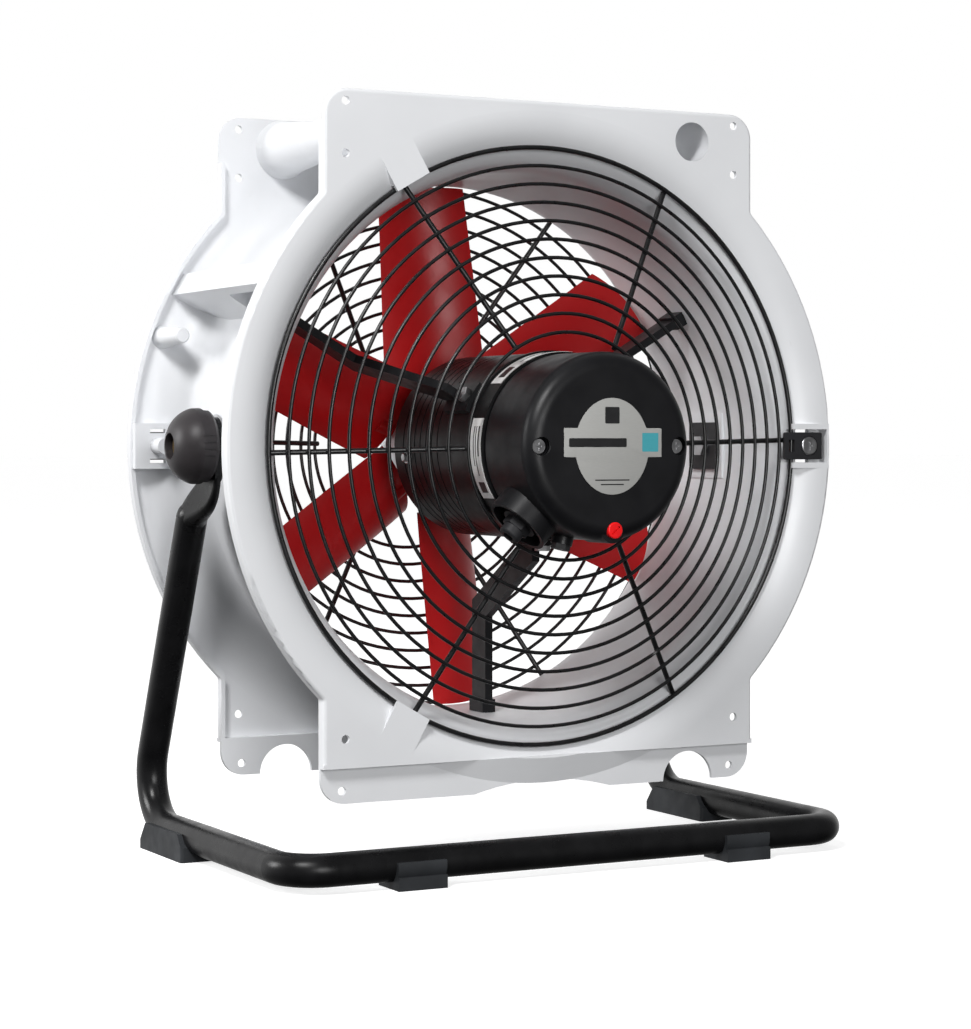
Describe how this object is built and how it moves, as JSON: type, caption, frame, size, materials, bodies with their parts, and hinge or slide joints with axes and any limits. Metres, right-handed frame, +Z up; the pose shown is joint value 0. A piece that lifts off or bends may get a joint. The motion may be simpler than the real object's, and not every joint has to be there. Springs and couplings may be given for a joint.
{
  "type": "portable axial air mover",
  "caption": "Guarded axial fan in a moulded drum housing that tilts between the arms of a bent tube floor stand, with a motor held on arms in the duct.",
  "frame": {"origin": "centre of the bounding box on the floor under the stand", "axes": "+X to the right seen from the motor cap side, +Y from front to back along the impeller axle, +Z up"},
  "size_m": [0.6592, 0.4219, 0.717],
  "materials": {
    "housing_plastic": "satin",
    "stand_steel": "satin black powder coat",
    "guard_wire": "satin black powder coat",
    "foot_rubber": "matte",
    "knob_plastic": "matte",
    "motor_cast": "black painted casting",
    "cap_plastic": "satin",
    "arm_steel": "satin black",
    "blade_plastic": "satin red",
    "plug_plastic": "gloss red",
    "label_film": "satin grey",
    "sticker_film": "satin white",
    "zinc_steel": "zinc plated",
    "dark_plastic": "matte",
    "hub_cast": "as cast",
    "electrical_steel": "laminated",
    "copper": "enamelled wire",
    "brass_insert": "turned",
    "friction_fibre": "matte"
  },
  "bodies": {
    "stand": {"stand_tube": "stand_steel", "foot_rear_left": "foot_rubber", "foot_rear_right": "foot_rubber", "foot_front_left": "foot_rubber", "foot_front_right": "foot_rubber"},
    "housing": {"housing": "housing_plastic", "pivot_block_left": "dark_plastic", "pivot_block_right": "dark_plastic", "pivot_stud_left": "zinc_steel", "pivot_stud_right": "zinc_steel", "friction_washer_left": "friction_fibre", "friction_washer_right": "friction_fibre", "front_guard": "guard_wire", "rear_guard": "guard_wire", "guard_clamp_front": "dark_plastic", "guard_clamp_rear": "dark_plastic", "guard_clamp_screw_front": "zinc_steel", "guard_clamp_screw_rear": "zinc_steel", "motor_arm_left": "arm_steel", "motor_arm_right": "arm_steel", "motor_arm_bottom": "arm_steel", "arm_bolts_motor": "zinc_steel", "arm_bolts_duct": "zinc_steel", "motor_body": "motor_cast", "motor_end_shield_front": "motor_cast", "motor_end_shield_rear": "motor_cast", "motor_cap": "cap_plastic", "cap_screws": "zinc_steel", "label_plate": "label_film", "rating_stickers": "sticker_film", "cable_gland": "dark_plastic", "blanking_plug": "dark_plastic", "stator_core": "electrical_steel", "stator_windings": "copper", "terminal_block": "sticker_film", "run_capacitor": "sticker_film", "capacitor_clip": "zinc_steel", "front_bearing": "zinc_steel", "rear_bearing": "zinc_steel", "shaft_seal": "foot_rubber"},
    "rotor": {"rotor_core": "electrical_steel", "motor_shaft": "zinc_steel", "impeller_hub": "hub_cast", "blade_clamp_plate": "hub_cast", "hub_screws": "zinc_steel", "hub_key": "zinc_steel", "shaft_end_screw": "zinc_steel", "shaft_end_washer": "zinc_steel", "blade_1": "blade_plastic", "blade_2": "blade_plastic", "blade_3": "blade_plastic", "blade_4": "blade_plastic", "blade_5": "blade_plastic", "blade_6": "blade_plastic"},
    "knob_left": {"knob_left": "knob_plastic", "knob_insert_left": "brass_insert"},
    "knob_right": {"knob_right": "knob_plastic", "knob_insert_right": "brass_insert"},
    "drain_plug": {"drain_plug": "plug_plastic"}
  },
  "joints": [
    {"name": "housing_tilt", "type": "hinge", "parent": "stand", "child": "housing", "pos_m": [0, 0.039, 0.392], "axis": [1, 0, 0], "range_deg": [0, 50]},
    {"name": "impeller_spin", "type": "hinge", "parent": "housing", "child": "rotor", "pos_m": [0, 0.136, 0.392], "axis": [0, 1, 0], "continuous": true},
    {"name": "knob_left_turn", "type": "hinge", "parent": "housing", "child": "knob_left", "pos_m": [-0.3, 0.039, 0.392], "axis": [-1, 0, 0], "range_deg": [0, 360]},
    {"name": "knob_right_turn", "type": "hinge", "parent": "housing", "child": "knob_right", "pos_m": [0.3, 0.039, 0.392], "axis": [1, 0, 0], "range_deg": [0, 360]},
    {"name": "drain_plug_turn", "type": "hinge", "parent": "housing", "child": "drain_plug", "pos_m": [0.0027, -0.201, 0.316], "axis": [0, -1, 0], "range_deg": [0, 90]}
  ]
}
